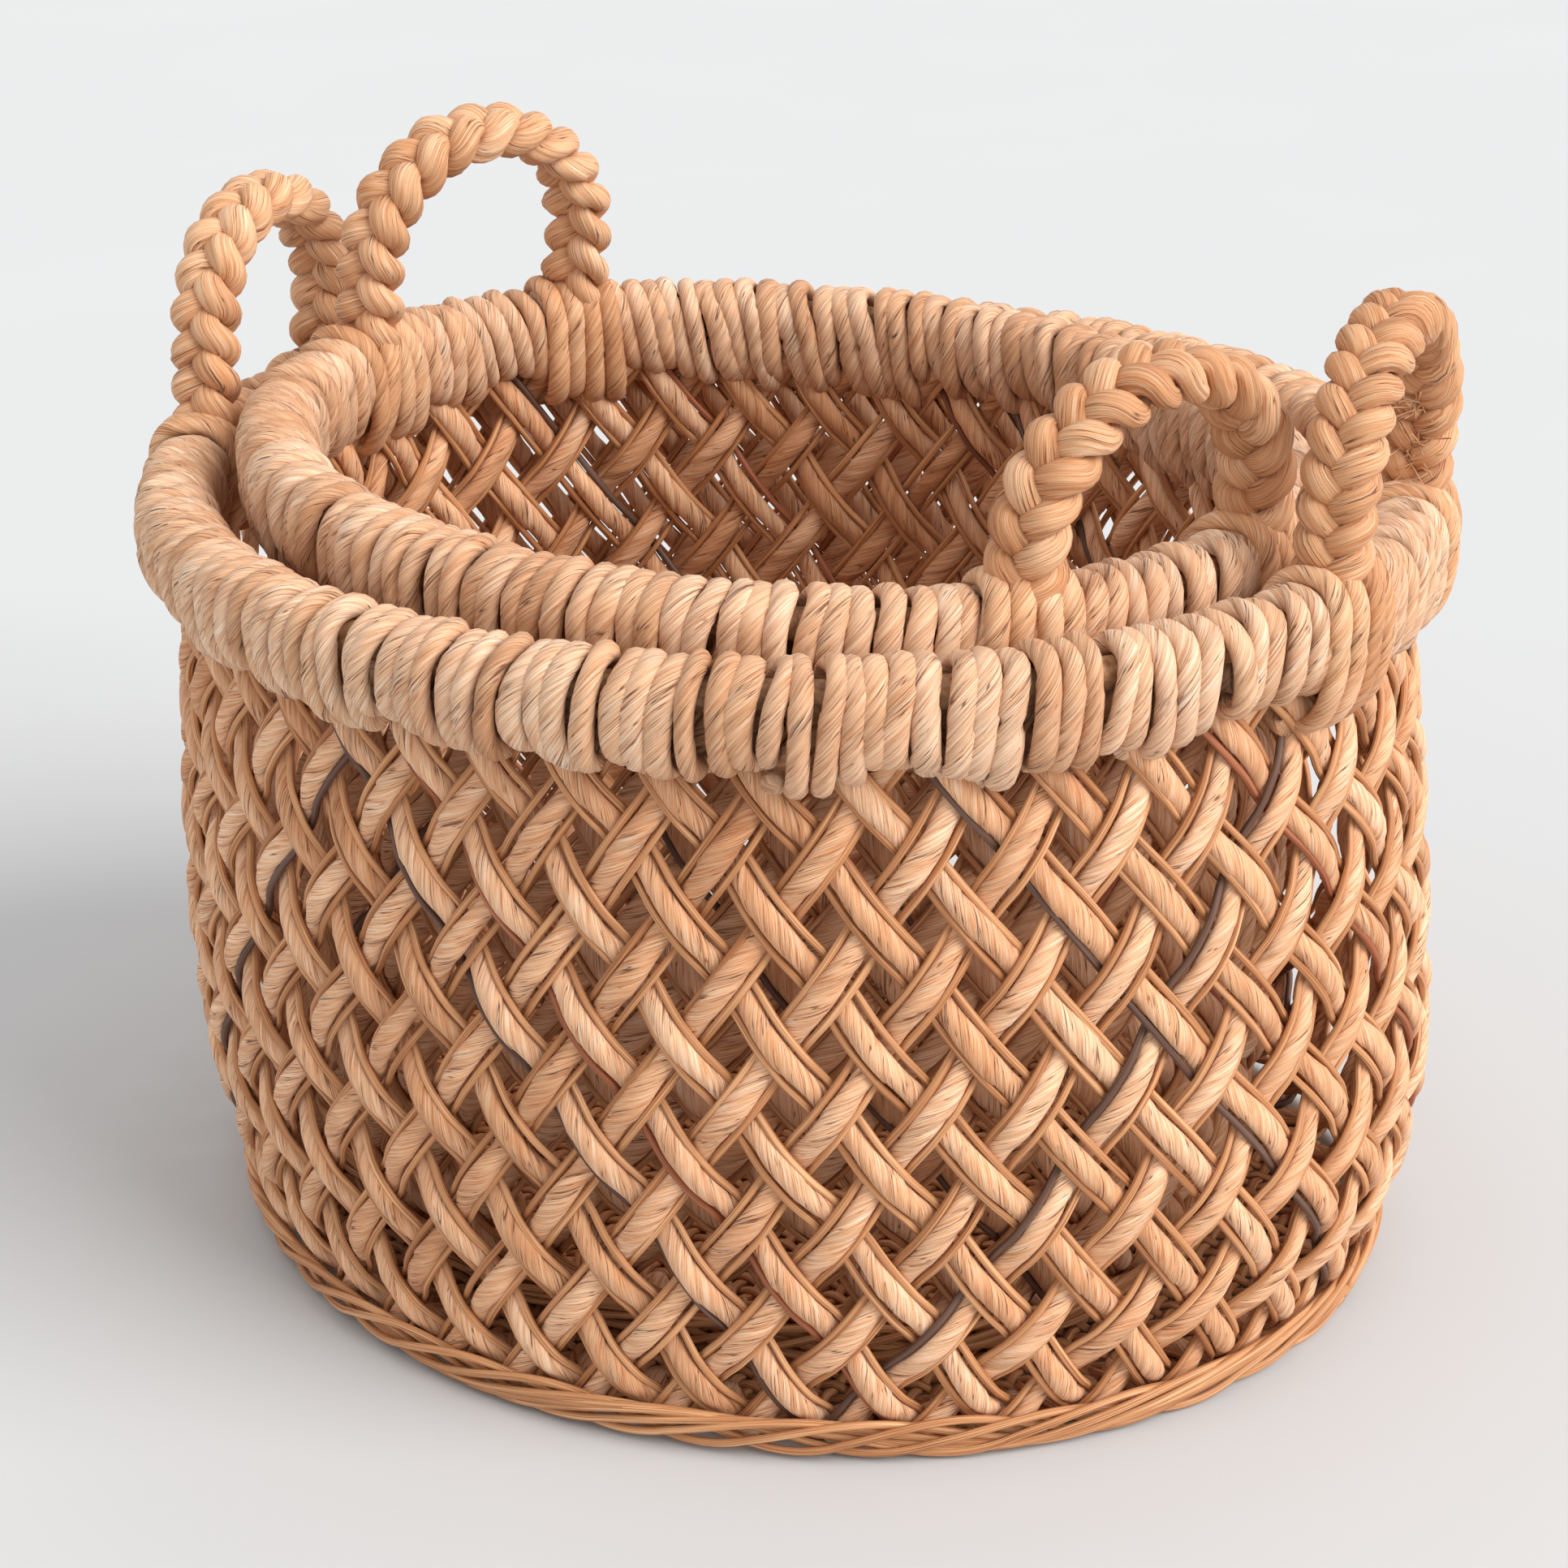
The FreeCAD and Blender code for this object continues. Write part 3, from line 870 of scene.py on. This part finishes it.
for name, wall in walls.items():
    piece = border(wall)
    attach(piece, name + "_basket")
    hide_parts(*[f"{name}_border_rod_{number}" for number in range(1, 5)])

# %% [markdown]
# ## The base: canes woven flat
# The floor of each basket is a plain weave of canes, cut to the oval. One set runs along the
# basket and one across, and each cane goes over one and under the next.

# %% Woven bases
BASE_STEP = 8.4 * MM               # from one base cane to the next
BASE_SWING = 1.5                   # mm, how far a base cane goes up and down


def base(wall):
    """The flat woven floor of one basket."""
    stand = wall.stand
    middle = sum(span(stand, wall.name + "_base_mat")) / 2
    mid_x, mid_y, long_half, short_half = wall.ovals[2] - [0, 0, 2 * MM, 2 * MM]
    tube = tube_of(6, 110)
    paths = []
    for half, cut, flip in ((long_half, short_half, 1), (short_half, long_half, -1)):
        most = int(cut / BASE_STEP)
        for number in range(-most, most + 1):
            aside = number * BASE_STEP
            reach_along = half * np.sqrt(max(0.0, 1 - (aside / cut) ** 2))
            if reach_along < 3 * BASE_STEP:
                continue
            along = np.linspace(-reach_along, reach_along, tube.rings + 1)
            lift = flip * (1 if number % 2 else -1) * BASE_SWING * MM
            lift = lift * np.cos(pi * along / BASE_STEP)
            x, y = (along, aside + 0 * along) if flip > 0 else (aside + 0 * along, along)
            paths.append(stand.shared(np.stack([mid_x + x, mid_y + y, middle + lift], -1)))
    centre = np.array(paths)
    out = np.broadcast_to(stand.up, centre.shape)
    return strands_piece(wall.name + "_woven_base", tube, centre, out, BASE_CANE, cane,
                         tone=rng.uniform(0.1, 0.9, len(centre)))


for name, wall in walls.items():
    piece = base(wall)
    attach(piece, name + "_basket")
    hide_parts(name + "_base_mat")

# %% [markdown]
# ## The hoop inside the rim
# The CAD hoop already has the right shape, and hardly shows between the turns of rope. It
# keeps its mesh and only takes a cane finish of its own, which reads Object coordinates
# because a CAD mesh has no strand map.

# %% Finish for the hoops
def hoop_finish():
    """Bundled cane, seen only through gaps."""
    look = Finish("hoop_cane")
    grain = look.patches(260, 4)
    colour = look.ramp(grain, (0.35, (0.28, 0.12, 0.05)), (0.65, (0.60, 0.35, 0.17)))
    look.set(look.shader, "Base_Color", colour)
    look.shader.inputs["Roughness"].default_value = 0.6
    bump = look.add("ShaderNodeBump", Height=grain, Strength=0.4, Distance=0.0005)
    look.set(look.shader, "Normal", bump.outputs[0])
    return look.material


hoop_cane = hoop_finish()
for name in walls:
    hoop = frame["nodes"][name + "_rim_hoop"]
    hoop.data.materials.clear()
    hoop.data.materials.append(hoop_cane)
    print(hoop.name, "has", len(hoop.data.polygons), "faces and the finish", hoop_cane.name)

# %% [markdown]
# ## Floor, light and camera
# The baskets stand on a plain pale floor. It is a large disc, so that its edge is far away.

# %% Floor
def floor_finish():
    """Matt pale grey paint with a trace of unevenness."""
    look = Finish("pale_floor")
    darker, paler = (0.585, 0.592, 0.600), (0.600, 0.607, 0.615)
    shade = look.ramp(look.patches(3, 2), (0.3, darker), (0.7, paler))
    look.set(look.shader, "Base_Color", shade)
    look.shader.inputs["Roughness"].default_value = 0.85
    return look.material


bm = bmesh.new()
FLOOR_RADIUS = 14.0                # metres
bmesh.ops.create_circle(bm, cap_ends=True, segments=64, radius=FLOOR_RADIUS)
floor_mesh = bpy.data.meshes.new("floor")
bm.to_mesh(floor_mesh)
bm.free()
floor = bpy.data.objects.new("floor", floor_mesh)
floor.data.materials.append(floor_finish())
bpy.context.scene.collection.objects.link(floor)
print("floor radius", FLOOR_RADIUS, "m")

# %% [markdown]
# The light is soft studio light: one large, distant soft light high on the right, which gives
# the ropes their shading, and a bright, even surround that fills the shadows.

# %% Lights
def soft_sun(name, toward, power, spread, colour):
    """A distant light as wide as a large soft box. toward points at the light."""
    data = bpy.data.lights.new(name, "SUN")
    data.energy, data.angle, data.color = power, radians(spread), colour
    lamp = bpy.data.objects.new(name, data)
    lamp.rotation_euler = Vector(toward).to_track_quat("Z", "Y").to_euler()
    bpy.context.scene.collection.objects.link(lamp)


soft_sun("key", (1.04, -0.01, 0.74), 3.1, 42, (1.0, 0.99, 0.975))
world = bpy.data.worlds.new("surround")
bpy.context.scene.world = world
world.use_nodes = True
world.node_tree.nodes["Background"].inputs["Color"].default_value = (0.97, 0.97, 0.97, 1)
world.node_tree.nodes["Background"].inputs["Strength"].default_value = 0.86

print("key light", bpy.data.lights["key"].energy, "W/m2, surround added")

# %% [markdown]
# A long lens, from a little above the rims, shows the front of both baskets and the inside of
# the smaller one. It is rolled by a small angle, so that the rims don't lie dead level.

# %% Camera
AZIMUTH, ELEVATION, ROLL = radians(29.77), radians(23.98), radians(-1.774)
DISTANCE, FOCAL = 1.5895, 76.87
back = Vector((sin(AZIMUTH) * cos(ELEVATION), -cos(AZIMUTH) * cos(ELEVATION), sin(ELEVATION)))
target = Vector((-0.0019, -0.0016, 0.2069))
camera = bpy.data.objects.new("camera", bpy.data.cameras.new("camera"))
camera.data.lens, camera.data.sensor_width = FOCAL, 36.0
camera.location = target + back * DISTANCE
camera.rotation_mode = "QUATERNION"
level = back.to_track_quat("Z", "Y")
camera.rotation_quaternion = level @ Quaternion((0, 0, 1), ROLL)
bpy.context.scene.collection.objects.link(camera)
bpy.context.scene.camera = camera
bpy.context.scene.view_settings.view_transform = "Standard"
print("camera at", [round(v, 3) for v in camera.location], "with a", FOCAL, "mm lens")
